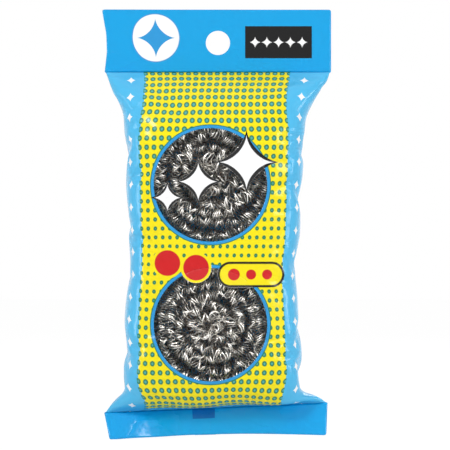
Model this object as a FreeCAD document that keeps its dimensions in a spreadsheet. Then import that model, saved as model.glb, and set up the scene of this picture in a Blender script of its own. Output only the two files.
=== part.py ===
import FreeCAD, Part
import Sketcher
import math
import os

# Hanging retail pouch with two curled-steel scourers.
# Millimetres. The origin is the centre of the hang hole, +Z is up and the printed front faces -Y.

SIZES = {
    # Film, seals and fin
    "film_gauge": 0.3,
    "seam_slit": 0.15,
    "header_height": 27.5,
    "hole_to_seam": 12.8,
    "hole_diameter": 10.7,
    "base_seal_height": 12.5,
    "base_seal_inset": 0.75,
    "fin_width": 10.4,
    # Scourers
    "scourer_diameter": 64.0,
    "scourer_thickness": 37.4,
    "rim_thickness": 26.0,
    "eye_diameter": 11.6,
    "strand_diameter": 1.3,
    "ring_gap": 0.7,
    "inner_curl_pitch": 2.22,
    "outer_curl_pitch": 4.14,
    # Room that the pouch leaves round the scourers
    "upper_play": 3.0,
    "lower_play": 2.0,
    "running_gap": 0.6,
    "head_room": 12.7,
    "base_room": 5.0,
    "side_room": 6.25,
    "side_draw": 11.75,
    "crown_room": 1.0,
    "rim_room": 2.45,
    # How the filled film swells and draws in
    "shoulder_inset": 5.0,
    "shoulder_depth": 21.5,
    "shoulder_flare": 2.75,
    "waist_pinch": 2.25,
    "lower_pinch": 0.75,
    "body_shift": 1.9,
    "heel_drop": 16.9,
    "heel_taper": 1.0,
    "base_turn": 2.3,
    "base_flare_drop": 1.0,
    "base_flare_inset": 6.0,
    "base_flare_depth": 18.0,
    # Clear windows in the print
    "window_diameter": 49.5,
    "window_drop": 62.9,
    "window_pitch": 61.0,
    "window_shift": 1.4,
}

# A box or cylinder that only cuts reaches this far
CUT_REACH = 120.0
# The filled film lies flat in front and turns at the sides: 2 would be an ellipse, more is squarer
SECTION_FULLNESS = 3.0
# Points on each section of the film
SECTION_POINTS = 32
# Curls over which a strand passes from its inner ring to its outer one
CROSSING_CURLS = 3.0
# Curl pitches left open in each ring, so that the crossing meets neither end of the strand
OPEN_PITCHES = 2.2
# The lower scourer lies turned about its own axis
LOWER_TURN_DEGREES = 140.0
# Points on each curl where the strand's gap to itself is measured, and the least gap allowed
GAP_POINTS = 96
LEAST_GAP = 0.4

document = FreeCAD.newDocument("scourer_pack")


def make_sheet():
    """Put every driving size in a spreadsheet cell under its own alias."""
    cells = document.addObject("Spreadsheet::Sheet", "Sizes")
    for row, (alias, value) in enumerate(SIZES.items(), start=1):
        cells.set(f"A{row}", alias)
        cells.set(f"B{row}", str(value))
        cells.setAlias(f"B{row}", alias)
    document.recompute()
    return cells


sheet = make_sheet()

# Heights, as expressions on the sheet
SCOURER_RADIUS = "Sizes.scourer_diameter / 2"
HEADER_SEAM = "(-Sizes.hole_to_seam)"
HEADER_TOP = f"({HEADER_SEAM} + Sizes.header_height)"
UPPER_CENTRE = f"({HEADER_SEAM} - Sizes.head_room - {SCOURER_RADIUS})"
SCOURER_SPACING = "(Sizes.scourer_diameter + Sizes.lower_play + Sizes.running_gap)"
LOWER_CENTRE = f"({UPPER_CENTRE} - {SCOURER_SPACING})"
BASE_SEAM = f"({LOWER_CENTRE} - {SCOURER_RADIUS} - Sizes.base_room)"
BASE_EDGE = f"({BASE_SEAM} - Sizes.base_seal_height)"
RING_WIDTH = "((Sizes.scourer_diameter - Sizes.eye_diameter) / 4 - Sizes.ring_gap / 2)"
OUTER_RING = f"({SCOURER_RADIUS} - {RING_WIDTH} / 2)"

# Widths and depths of the filled film
BODY_WIDTH = "(Sizes.scourer_diameter + 2 * Sizes.side_room)"
LAY_FLAT_WIDTH = f"({BODY_WIDTH} + 2 * Sizes.side_draw)"
BODY_DEPTH = "(Sizes.scourer_thickness + 2 * Sizes.crown_room + 2 * Sizes.film_gauge)"
RIM_DEPTH = "(Sizes.rim_thickness + 2 * Sizes.rim_room + 2 * Sizes.film_gauge)"
BASE_WIDTH = f"({LAY_FLAT_WIDTH} - 2 * Sizes.base_seal_inset)"
SEALED_DEPTH = "(2 * Sizes.film_gauge)"

# The filled body hangs this far to the left of the header
BODY_SHIFT = "(-Sizes.body_shift)"

# Sections of the film's outer face from header to base: height, width, depth
FILM_SECTIONS = (
    (HEADER_SEAM, LAY_FLAT_WIDTH, SEALED_DEPTH),
    (f"{HEADER_SEAM} - Sizes.head_room + Sizes.upper_play",
     f"{LAY_FLAT_WIDTH} - 2 * Sizes.shoulder_inset", "Sizes.shoulder_depth"),
    (f"{UPPER_CENTRE} + {OUTER_RING} + Sizes.upper_play",
     f"{BODY_WIDTH} + 2 * Sizes.shoulder_flare", RIM_DEPTH),
    (UPPER_CENTRE, BODY_WIDTH, BODY_DEPTH),
    (f"({UPPER_CENTRE} + {LOWER_CENTRE}) / 2",
     f"{BODY_WIDTH} - 2 * Sizes.waist_pinch", BODY_DEPTH),
    (LOWER_CENTRE, f"{BODY_WIDTH} - 2 * Sizes.lower_pinch", BODY_DEPTH),
    (f"{LOWER_CENTRE} - Sizes.heel_drop",
     BODY_WIDTH, f"{BODY_DEPTH} - 2 * Sizes.heel_taper"),
    (f"{LOWER_CENTRE} - {OUTER_RING} - Sizes.base_turn", BODY_WIDTH, RIM_DEPTH),
    (f"{LOWER_CENTRE} - {SCOURER_RADIUS} - Sizes.base_flare_drop",
     f"{LAY_FLAT_WIDTH} - 2 * Sizes.base_flare_inset", "Sizes.base_flare_depth"),
    (BASE_SEAM, BASE_WIDTH, SEALED_DEPTH),
)


def size(alias):
    """Read one driving size from the spreadsheet."""
    return float(getattr(sheet, alias))


def bind(obj, **expressions):
    """Tie an object's properties to the sheet. Two underscores in a name stand for a dot."""
    for name, expression in expressions.items():
        obj.setExpression(name.replace("__", "."), expression)
    return obj


def squared_oval(half_width, half_depth):
    """Closed smooth curve about the origin, flatter in front and behind than an ellipse."""
    points = []
    for step in range(SECTION_POINTS):
        turn = 2 * math.pi * step / SECTION_POINTS
        across, deep = math.cos(turn), math.sin(turn)
        reach = (abs(across) ** SECTION_FULLNESS + abs(deep) ** SECTION_FULLNESS) ** (-1 / SECTION_FULLNESS)
        points.append(FreeCAD.Vector(half_width * across * reach, half_depth * deep * reach, 0))
    curve = Part.BSplineCurve()
    curve.interpolate(Points=points, PeriodicFlag=True, Parameters=list(range(SECTION_POINTS + 1)))
    return Part.Wire(curve.toShape())


def loft_film(name, growth, seam_depth):
    """Loft the film's sections, grown on every side, into one solid of the pouch's shape."""
    ovals = []
    seams = (0, len(FILM_SECTIONS) - 1)
    for index, (height, width, depth) in enumerate(FILM_SECTIONS):
        oval = document.addObject("Part::Feature", f"{name}_section_{index}")
        half_width = oval.evalExpression(f"({width}) / 2 + {growth}")
        half_depth = f"{seam_depth} / 2" if index in seams else f"({depth}) / 2 + {growth}"
        oval.Shape = squared_oval(half_width, oval.evalExpression(half_depth))
        shift = "0" if index in seams else BODY_SHIFT
        ovals.append(bind(oval, Placement__Base__x=shift, Placement__Base__z=height))
    loft = document.addObject("Part::Loft", name)
    loft.Sections = ovals
    loft.Solid = True
    return loft


def region(name, x_from, x_to, y_from, y_to):
    """Box over the pouch's whole height that keeps one region of the film."""
    box = document.addObject("Part::Box", name)
    return bind(
        box,
        Length=f"{x_to} - ({x_from})",
        Width=f"{y_to} - ({y_from})",
        Height=f"{HEADER_SEAM} - {BASE_SEAM}",
        Placement__Base__x=x_from,
        Placement__Base__y=y_from,
        Placement__Base__z=BASE_SEAM,
    )


def window_cylinder(name, height):
    """Cylinder towards the front, where one round window is left unprinted."""
    cylinder = document.addObject("Part::Cylinder", name)
    cylinder.Placement.Rotation = FreeCAD.Rotation(FreeCAD.Vector(1, 0, 0), 90)
    return bind(
        cylinder,
        Radius="Sizes.window_diameter / 2",
        Height=str(CUT_REACH),
        Placement__Base__x="-Sizes.window_shift",
        Placement__Base__z=height,
    )


def combine(kind, name, base, tool):
    """Boolean of two document objects; kind is Cut or Common."""
    result = document.addObject(f"Part::{kind}", name)
    result.Base, result.Tool = base, tool
    return result


def rectangle(body, name, left, right, bottom, top):
    """Sketch on the body's XZ plane, a rectangle with its sides held at expressions."""
    sketch = document.addObject("Sketcher::SketchObject", name)
    body.addObject(sketch)
    sketch.AttachmentSupport = (body.Origin.OriginFeatures[4], [""])
    sketch.MapMode = "FlatFace"
    corners = [FreeCAD.Vector(x, y, 0) for x, y in ((-2, -1), (2, -1), (2, 1), (-2, 1))]
    for start, end in zip(corners, corners[1:] + corners[:1]):
        sketch.addGeometry(Part.LineSegment(start, end))
    for line in range(4):
        sketch.addConstraint(Sketcher.Constraint("Coincident", line, 2, (line + 1) % 4, 1))
        direction = "Vertical" if line % 2 else "Horizontal"
        sketch.addConstraint(Sketcher.Constraint(direction, line))
    sides = (
        ("left", "DistanceX", 0, left),
        ("bottom", "DistanceY", 0, bottom),
        ("right", "DistanceX", 2, right),
        ("top", "DistanceY", 2, top),
    )
    for side, kind, line, expression in sides:
        place = corners[line].x if kind == "DistanceX" else corners[line].y
        index = sketch.addConstraint(Sketcher.Constraint(kind, -1, 1, line, 1, place))
        sketch.renameConstraint(index, side)
        sketch.setExpression(f"Constraints.{side}", expression)
    return sketch


def seal(name, width, bottom, top):
    """Flat heat seal of two films, with the folded fin sealed to its back."""
    body = document.addObject("PartDesign::Body", name)
    films = document.addObject("PartDesign::Pad", f"{name}_films")
    body.addObject(films)
    films.Profile = rectangle(body, f"{name}_outline", f"-{width} / 2", f"{width} / 2", bottom, top)
    films.Midplane = True
    bind(films, Length=SEALED_DEPTH)
    fin = document.addObject("PartDesign::Pad", f"{name}_fin")
    body.addObject(fin)
    fin.Profile = rectangle(body, f"{name}_fin_outline", "-Sizes.fin_width", "0", bottom, top)
    fin.Reversed = True
    bind(fin, Length=f"{SEALED_DEPTH} + Sizes.film_gauge")
    return body


def hang_hole(body):
    """Punch the round hang hole through the header."""
    sketch = document.addObject("Sketcher::SketchObject", "hang_hole_outline")
    body.addObject(sketch)
    sketch.AttachmentSupport = (body.Origin.OriginFeatures[4], [""])
    sketch.MapMode = "FlatFace"
    sketch.addGeometry(Part.Circle(FreeCAD.Vector(), FreeCAD.Vector(0, 0, 1), 1.0))
    sketch.addConstraint(Sketcher.Constraint("Coincident", 0, 3, -1, 1))
    index = sketch.addConstraint(Sketcher.Constraint("Diameter", 0, 2.0))
    sketch.renameConstraint(index, "hole")
    sketch.setExpression("Constraints.hole", "Sizes.hole_diameter")
    pocket = document.addObject("PartDesign::Pocket", "hang_hole_punch")
    body.addObject(pocket)
    pocket.Profile = sketch
    pocket.Type = "ThroughAll"
    pocket.Midplane = True


class Strand:
    """One unbroken curly wire: a ring of curls round the eye that crosses into an outer ring."""

    def __init__(self):
        """Work out both rings from the sheet."""
        self.wire = size("strand_diameter")
        ring_width = (size("scourer_diameter") - size("eye_diameter")) / 4 - size("ring_gap") / 2
        self.half_width = (ring_width - self.wire) / 2
        self.ring_radius = (
            (size("eye_diameter") + ring_width) / 2,
            (size("scourer_diameter") - ring_width) / 2,
        )
        self.half_depth = (
            (size("scourer_thickness") - self.wire) / 2,
            (size("rim_thickness") - self.wire) / 2,
        )
        self.inner_curls = self.ring_curls(0, size("inner_curl_pitch"))
        outer_curls = self.ring_curls(1, size("outer_curl_pitch"))
        self.curls = self.inner_curls + outer_curls
        self.pitch = (
            2 * math.pi / (self.inner_curls + OPEN_PITCHES),
            2 * math.pi / (outer_curls + OPEN_PITCHES),
        )

    def ring_curls(self, ring, pitch):
        """Whole curls that one ring has room for, at least this far apart at its inner side."""
        return math.floor(2 * math.pi * (self.ring_radius[ring] - self.half_width) / pitch - OPEN_PITCHES)

    def point(self, curl):
        """Place on the wire's centre line after so many curls, about the scourer's centre."""
        past = curl - self.inner_curls + CROSSING_CURLS / 2
        share = min(1.0, max(0.0, past / CROSSING_CURLS))
        blend = 3 * share**2 - 2 * share**3
        blended = CROSSING_CURLS * (share**3 - share**4 / 2) + max(0.0, past - CROSSING_CURLS)
        inner, outer = self.pitch
        angle = inner * curl + (outer - inner) * blended
        ring = self.ring_radius[0] + (self.ring_radius[1] - self.ring_radius[0]) * blend
        depth = self.half_depth[0] + (self.half_depth[1] - self.half_depth[0]) * blend
        turn = 2 * math.pi * curl
        radius = ring + self.half_width * math.cos(turn)
        return FreeCAD.Vector(
            radius * math.cos(angle), depth * math.sin(turn), radius * math.sin(angle)
        )

    def tangent(self, curl):
        """Direction of the wire after so many curls."""
        step = 1e-4
        return (self.point(curl + step) - self.point(curl - step)).normalize()

    def path(self):
        """Biarcs of a quarter curl each, with a straight run of one wire at both ends."""
        quarters = int(round(4 * self.curls))
        places = [(self.point(q / 4), self.tangent(q / 4)) for q in range(quarters + 1)]
        first, first_way = places[0]
        last, last_way = places[-1]
        edges = [Part.LineSegment(first - first_way * self.wire, first).toShape()]
        for (start, start_way), (end, end_way) in zip(places, places[1:]):
            edges += biarc(start, start_way, end, end_way)
        edges.append(Part.LineSegment(last, last + last_way * self.wire).toShape())
        return Part.Wire(edges)

    def solid(self):
        """Sweep the round wire along the path."""
        path = self.path()
        start = path.Edges[0].valueAt(path.Edges[0].FirstParameter)
        circle = Part.makeCircle(self.wire / 2, start, self.tangent(0))
        tube = path.makePipeShell([Part.Wire(circle)], True, False)
        expected = math.pi * self.wire**2 / 4 * path.Length
        if abs(tube.Volume - expected) > expected / 1000:
            raise ValueError(f"strand volume {tube.Volume:.1f}, expected {expected:.1f}")
        return tube

    def least_gap(self):
        """Least clear distance between two curls, measured on points of the path."""
        places = []
        for edge in self.path().Edges:
            count = max(2, round(GAP_POINTS * edge.Length / (2 * math.pi * self.half_depth[1])))
            places += edge.discretize(count)[:-1]
        cell = 2 * self.half_width
        grid = {}
        for index, place in enumerate(places):
            grid.setdefault(tuple(int(c // cell) for c in place), []).append(index)
        near = [(i, j, k) for i in (-1, 0, 1) for j in (-1, 0, 1) for k in (-1, 0, 1)]
        least = cell
        for (x, y, z), members in grid.items():
            others = [o for i, j, k in near for o in grid.get((x + i, y + j, z + k), ())]
            for index in members:
                for other in others:
                    if other - index > GAP_POINTS / 4:
                        least = min(least, places[index].distanceToPoint(places[other]))
        return least - self.wire


def biarc(start, start_way, end, end_way):
    """Two tangent arcs from one place and direction to another."""
    across = end - start
    square = 2 * (start_way.dot(end_way) - 1)
    linear = -2 * across.dot(start_way + end_way)
    constant = across.dot(across)
    root = math.sqrt(linear**2 - 4 * square * constant)
    reach = min(r for r in ((root - linear) / (2 * square), (-root - linear) / (2 * square)) if r > 0)
    first, second = start + start_way * reach, end - end_way * reach
    middle = (first + second) * 0.5
    return [tangent_arc(start, first, middle), tangent_arc(middle, second, end)]


def tangent_arc(start, corner, end):
    """Arc between two points whose tangents meet at the corner."""
    chord_middle = (start + end) * 0.5
    half_chord = (end - start).Length / 2
    rise = (corner - chord_middle).Length
    sagitta = half_chord * math.tan(math.atan2(rise, half_chord) / 2)
    top = chord_middle + (corner - chord_middle) * (sagitta / rise)
    return Part.Arc(start, top, end).toShape()


def scourer(name, shape, height, turn):
    """Scourer lying flat behind the front film, its centre at a height given by an expression."""
    feature = document.addObject("Part::Feature", name)
    feature.Shape = shape
    feature.Placement.Rotation = FreeCAD.Rotation(FreeCAD.Vector(0, 1, 0), turn)
    return bind(feature, Placement__Base__x=BODY_SHIFT, Placement__Base__z=height)


def make_film():
    """Divide the film tube into its front, its two windows, its back flaps and the folded fin."""
    reach = str(CUT_REACH)
    outer = loft_film("film_outer", "0", SEALED_DEPTH)
    inner = loft_film("film_inner", "(-Sizes.film_gauge)", "Sizes.seam_slit")
    covered = loft_film("fin_outer", SEALED_DEPTH, f"(3 * {SEALED_DEPTH})")
    tube = combine("Cut", "film_tube", outer, inner)
    front = combine("Common", "film_front", tube, region("front", f"-{reach}", reach, f"-{reach}", "0"))
    upper = window_cylinder("upper_round", "-Sizes.window_drop")
    lower = window_cylinder("lower_round", "-Sizes.window_drop - Sizes.window_pitch")
    without_upper = combine("Cut", "front_without_upper", front, upper)
    layer = combine("Cut", "fin_layer", covered, outer)
    left = region("left", f"-{reach}", "0", "0", reach)
    right = region("right", "0", reach, "0", reach)
    strip = region("strip", "-Sizes.fin_width", "0", "0", reach)
    return [
        combine("Cut", "front_panel", without_upper, lower),
        combine("Common", "window_upper", front, upper),
        combine("Common", "window_lower", front, lower),
        combine("Common", "back_panel_left", tube, left),
        combine("Common", "back_panel_right", tube, right),
        combine("Common", "back_fin", layer, strip),
    ]


def make_seals():
    """Header with its hang hole, and the seal along the base."""
    header = seal("header_seal", LAY_FLAT_WIDTH, HEADER_SEAM, HEADER_TOP)
    hang_hole(header)
    return [header, seal("base_seal", BASE_WIDTH, BASE_EDGE, BASE_SEAM)]


def make_scourers():
    """Two scourers of the same winding, one above the other."""
    strand = Strand()
    gap = strand.least_gap()
    print(f"least gap of the strand to itself: {gap:.2f} mm over {strand.curls:.0f} curls")
    if gap < LEAST_GAP:
        raise ValueError("the strand's curls come too near each other")
    shape = strand.solid()
    return [
        scourer("scourer_upper", shape, UPPER_CENTRE, 0.0),
        scourer("scourer_lower", shape.copy(), LOWER_CENTRE, LOWER_TURN_DEGREES),
    ]


def check_and_export(sub_parts):
    """Stop on any bad object, then write each sub-part to its own file."""
    document.recompute()
    for obj in document.Objects:
        if "Invalid" in obj.State or "Error" in obj.State:
            raise ValueError(f"{obj.Name} is {obj.State}")
    os.makedirs("parts", exist_ok=True)
    for sub_part in sub_parts:
        sub_part.Label = sub_part.Name
        shape = sub_part.Shape
        if not shape.isValid() or len(shape.Solids) != 1:
            raise ValueError(f"{sub_part.Name} has {len(shape.Solids)} solids or is not valid")
        shape.exportStep(f"parts/{sub_part.Label}.step")
        box = shape.BoundBox
        print(f"{sub_part.Label}: {box.XLength:.1f} x {box.YLength:.1f} x {box.ZLength:.1f} mm")


check_and_export(make_film() + make_seals() + make_scourers())
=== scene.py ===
"""Hanging film pouch with two curled-steel pot scrubbers. Metres, +Z up, the printed front faces -Y."""

import logging
import math
from dataclasses import dataclass, field
from enum import Enum

import bmesh
import bpy
import numpy as np
from mathutils import Matrix, Vector
from mathutils.kdtree import KDTree


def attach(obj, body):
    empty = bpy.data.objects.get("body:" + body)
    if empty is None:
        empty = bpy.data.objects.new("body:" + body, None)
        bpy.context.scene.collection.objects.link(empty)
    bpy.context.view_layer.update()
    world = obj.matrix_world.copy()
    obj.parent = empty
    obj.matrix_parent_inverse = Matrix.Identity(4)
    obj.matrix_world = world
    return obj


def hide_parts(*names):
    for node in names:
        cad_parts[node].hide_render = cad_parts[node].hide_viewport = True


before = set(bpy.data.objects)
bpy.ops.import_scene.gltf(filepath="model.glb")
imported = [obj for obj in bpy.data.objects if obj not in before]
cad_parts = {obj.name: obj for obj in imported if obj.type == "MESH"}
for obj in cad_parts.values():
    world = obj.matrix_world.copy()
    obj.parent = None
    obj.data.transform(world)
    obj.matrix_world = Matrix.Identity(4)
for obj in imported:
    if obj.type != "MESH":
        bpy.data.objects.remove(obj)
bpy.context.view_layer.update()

LOG = logging.getLogger("scourer_pack")
MM = 0.001
# The print's UV map holds millimetres divided by this
PRINT_UNIT = 100.0
# Lengths in metres under this count as nothing
EPSILON = 1e-6
CUT_EPSILON = 1e-7
# Least length that is divided by
TINY = 1e-12
# Widths in millimetres over which printed edges fade
FINE_EDGE = 0.1
PLAIN_EDGE = 0.15
RING_EDGE = 0.2
SOFT_EDGE = 0.3
# Film crinkles: sharpness of the ridges, least and added roughness, and height in metres
RIDGE_POWER = 0.6
FILM_ROUGHNESS = 0.14
ADDED_ROUGHNESS = 0.16
CRINKLE_HEIGHT = 0.002
WHITE = (1.0, 1.0, 1.0, 1.0)

Socket = bpy.types.NodeSocket


class Body(Enum):
    """CAD bodies that the pieces ride on."""

    POUCH = "pouch"
    UPPER = "upper_scourer"
    LOWER = "lower_scourer"


class Region(Enum):
    """Regions of the film, kept as material indices while the film is one mesh."""

    HEADER = 0
    FRONT = 1
    BACK_LEFT = 2
    BACK_RIGHT = 3
    BASE = 4
    WINDOW_UPPER = 5
    WINDOW_LOWER = 6


def srgb(red: int, green: int, blue: int) -> tuple[float, float, float, float]:
    """Linear colour of an sRGB triple.

    Args:
        red: Red from 0 to 255.
        green: Green from 0 to 255.
        blue: Blue from 0 to 255.

    Returns:
        The linear colour with full alpha.
    """
    parts = [c / 255 for c in (red, green, blue)]
    linear = [c / 12.92 if c <= 0.04045 else ((c + 0.055) / 1.055) ** 2.4 for c in parts]
    return (linear[0], linear[1], linear[2], 1.0)


def link_object(name: str, data: bpy.types.ID) -> bpy.types.Object:
    """Put some data in the scene as an object.

    Args:
        name: The object's name.
        data: Its mesh, curve, lamp or camera.

    Returns:
        The new object.
    """
    obj = bpy.data.objects.new(name, data)
    bpy.context.scene.collection.objects.link(obj)
    return obj


def mesh_from(name: str, bm: bmesh.types.BMesh) -> bpy.types.Mesh:
    """Turn a bmesh into a smooth-shaded mesh.

    Args:
        name: The mesh's name.
        bm: The bmesh, which is freed.

    Returns:
        The mesh.
    """
    mesh = bpy.data.meshes.new(name)
    bm.to_mesh(mesh)
    bm.free()
    mesh.shade_smooth()
    return mesh


def settled_mesh(obj: bpy.types.Object) -> bpy.types.Mesh:
    """Mesh of an object as its modifiers or curve settings make it.

    Args:
        obj: The object, which is removed.

    Returns:
        The mesh.
    """
    graph = bpy.context.evaluated_depsgraph_get()
    mesh = bpy.data.meshes.new_from_object(obj.evaluated_get(graph))
    bpy.data.objects.remove(obj)
    return mesh


def unit(values: np.ndarray) -> np.ndarray:
    """Values held between 0 and 1."""
    return np.clip(values, 0.0, 1.0)


def eased(share: np.ndarray) -> np.ndarray:
    """Share from 0 to 1 that starts and ends gently."""
    return share**2 * (3 - 2 * share)


def run_along(points: np.ndarray) -> np.ndarray:
    """Length along a line of points, from its start to each of them."""
    return np.concatenate([[0.0], np.cumsum(np.linalg.norm(np.diff(points, axis=0), axis=1))])


def points_at(lengths: np.ndarray, run: np.ndarray, points: np.ndarray) -> np.ndarray:
    """Points at some lengths along a line."""
    return np.stack([np.interp(lengths, run, axis) for axis in points.T], 1)


class Nodes:
    """Short ways to add nodes to one node tree."""

    def __init__(self, tree: bpy.types.NodeTree) -> None:
        """Work on this tree."""
        self.tree = tree

    def add(self, kind: str, inputs: dict | None = None, **settings: object) -> bpy.types.Node:
        """Add a node.

        Args:
            kind: The node's type name after "ShaderNode".
            inputs: Values or sockets for its inputs, by name or number.
            settings: Properties of the node.

        Returns:
            The new node.
        """
        node = self.tree.nodes.new(f"ShaderNode{kind}")
        for name, value in settings.items():
            setattr(node, name, value)
        for key, value in (inputs or {}).items():
            if isinstance(value, Socket):
                self.tree.links.new(value, node.inputs[key])
            else:
                node.inputs[key].default_value = value
        return node

    def math(self, operation: str, *values: object, clamp: bool = False) -> Socket:
        """Result of a Math node on numbers or sockets."""
        inputs = dict(enumerate(values))
        return self.add("Math", inputs, operation=operation, use_clamp=clamp).outputs[0]

    def mix(self, factor: object, first: object, second: object) -> Socket:
        """Colour mixed from first to second by a factor."""
        node = self.add("Mix", {0: factor, 6: first, 7: second}, data_type="RGBA")
        return node.outputs[2]

    def below(self, value: object, limit: object, soft: float = 0.06) -> Socket:
        """Mask that is 1 where value lies under limit, with a soft edge that wide."""
        rise = self.math("SUBTRACT", limit, value)
        return self.math("MULTIPLY_ADD", rise, 1.0 / soft, 0.5, clamp=True)

    def within(self, value: object, low: float, high: float, soft: float = 0.06) -> Socket:
        """Mask that is 1 where value lies from low to high.

        Args:
            value: Number or socket.
            low: Lower limit.
            high: Upper limit.
            soft: Width of the soft edges.

        Returns:
            The mask.
        """
        centre, half = (low + high) / 2, (high - low) / 2
        away = self.math("ABSOLUTE", self.math("SUBTRACT", value, centre))
        return self.below(away, half, soft)

    def length(self, x: object, y: object) -> Socket:
        """Length of a flat vector."""
        squares = self.math("ADD", self.math("MULTIPLY", x, x), self.math("MULTIPLY", y, y))
        return self.math("SQRT", squares)


def new_material(name: str) -> tuple[bpy.types.Material, Nodes, bpy.types.Node]:
    """Empty node material.

    Args:
        name: The material's name.

    Returns:
        The material, its nodes and its output node.
    """
    material = bpy.data.materials.new(name)
    material.use_nodes = True
    material.node_tree.nodes.clear()
    nodes = Nodes(material.node_tree)
    return material, nodes, nodes.add("OutputMaterial")


def crinkle_group() -> bpy.types.NodeTree:
    """Shader group for the fine crinkles and uneven gloss of thin film.

    Returns:
        The group.
    """
    group = bpy.data.node_groups.new("film_crinkle", "ShaderNodeTree")
    group.interface.new_socket("Scale", in_out="INPUT", socket_type="NodeSocketFloat")
    for name in ("Height", "Roughness"):
        group.interface.new_socket(name, in_out="OUTPUT", socket_type="NodeSocketFloat")
    nodes = Nodes(group)
    given = group.nodes.new("NodeGroupInput")
    result = group.nodes.new("NodeGroupOutput")
    place = nodes.add("TexCoord").outputs["Object"]
    broad = nodes.add(
        "TexNoise", {"Vector": place, "Scale": given.outputs["Scale"], "Detail": 3.0, "Roughness": 0.55}
    ).outputs[0]
    ridge = nodes.math("ABSOLUTE", nodes.math("MULTIPLY_ADD", broad, 2.0, -1.0))
    height = nodes.math("SUBTRACT", 1.0, nodes.math("POWER", ridge, RIDGE_POWER))
    roughness = nodes.math("MULTIPLY_ADD", broad, ADDED_ROUGHNESS, FILM_ROUGHNESS)
    group.links.new(height, result.inputs["Height"])
    group.links.new(roughness, result.inputs["Roughness"])
    return group


def crinkled(nodes: Nodes, group: bpy.types.NodeTree, scale: float, depth: float) -> tuple[Socket, Socket]:
    """Add film crinkles to a finish.

    Args:
        nodes: The finish's nodes.
        group: The shared crinkle group.
        scale: How close the crinkles lie.
        depth: How strong they are.

    Returns:
        The roughness and the bumped normal.
    """
    crinkle = nodes.add("Group", node_tree=group)
    crinkle.inputs["Scale"].default_value = scale
    height = crinkle.outputs["Height"]
    bump = nodes.add("Bump", {"Height": height, "Strength": depth, "Distance": CRINKLE_HEIGHT})
    return crinkle.outputs["Roughness"], bump.outputs[0]


class Motif(Enum):
    """Plain shapes in the print."""

    SPARKLE = "sparkle"
    DISC = "disc"
    PILL = "pill"


@dataclass(frozen=True)
class Ornament:
    """One plain shape in the print, with a rim of another colour, in millimetres as seen from the front."""

    motif: Motif
    centre: tuple[float, float]
    size: float
    fill: tuple
    rim: tuple
    rim_width: float
    reach: float = 0.0
    fill_power: float = 0.62
    rim_power: float = 0.66

    def away(self, nodes: Nodes, x: object, z: object, grown: float) -> Socket:
        """Signed distance, about in millimetres, from the shape's outline grown by some width.

        Args:
            nodes: The tree to add to.
            x: Place across.
            z: Place upward.
            grown: Width that the outline is grown by.

        Returns:
            The distance, which is below zero inside.
        """
        across = nodes.math("ABSOLUTE", nodes.math("SUBTRACT", x, self.centre[0]))
        along = nodes.math("ABSOLUTE", nodes.math("SUBTRACT", z, self.centre[1]))
        if self.motif is Motif.SPARKLE:
            power = self.fill_power if grown == 0 else self.rim_power
            parts = [nodes.math("POWER", value, power) for value in (across, along)]
            spread = nodes.math("POWER", nodes.math("ADD", *parts), 1 / power)
        else:
            across = nodes.math("MAXIMUM", nodes.math("SUBTRACT", across, self.reach), 0.0)
            spread = nodes.length(across, along)
        return nodes.math("SUBTRACT", spread, self.size + grown)

    def lay(
        self, nodes: Nodes, x: object, z: object, colour: object, where: object = 1.0
    ) -> tuple[Socket, Socket]:
        """Lay the shape over a colour.

        Args:
            nodes: The tree to add to.
            x: Place across.
            z: Place upward.
            colour: The colour below.
            where: Mask of the places that take the print.

        Returns:
            The colour with the shape, and the shape's mask, rim included.
        """
        masks = []
        for grown in (self.rim_width, 0.0):
            mask = nodes.below(self.away(nodes, x, z, grown), 0.0, SOFT_EDGE)
            masks.append(nodes.math("MULTIPLY", where, mask))
        rim, fill = masks
        return nodes.mix(fill, nodes.mix(rim, colour, self.rim), self.fill), rim


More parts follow.
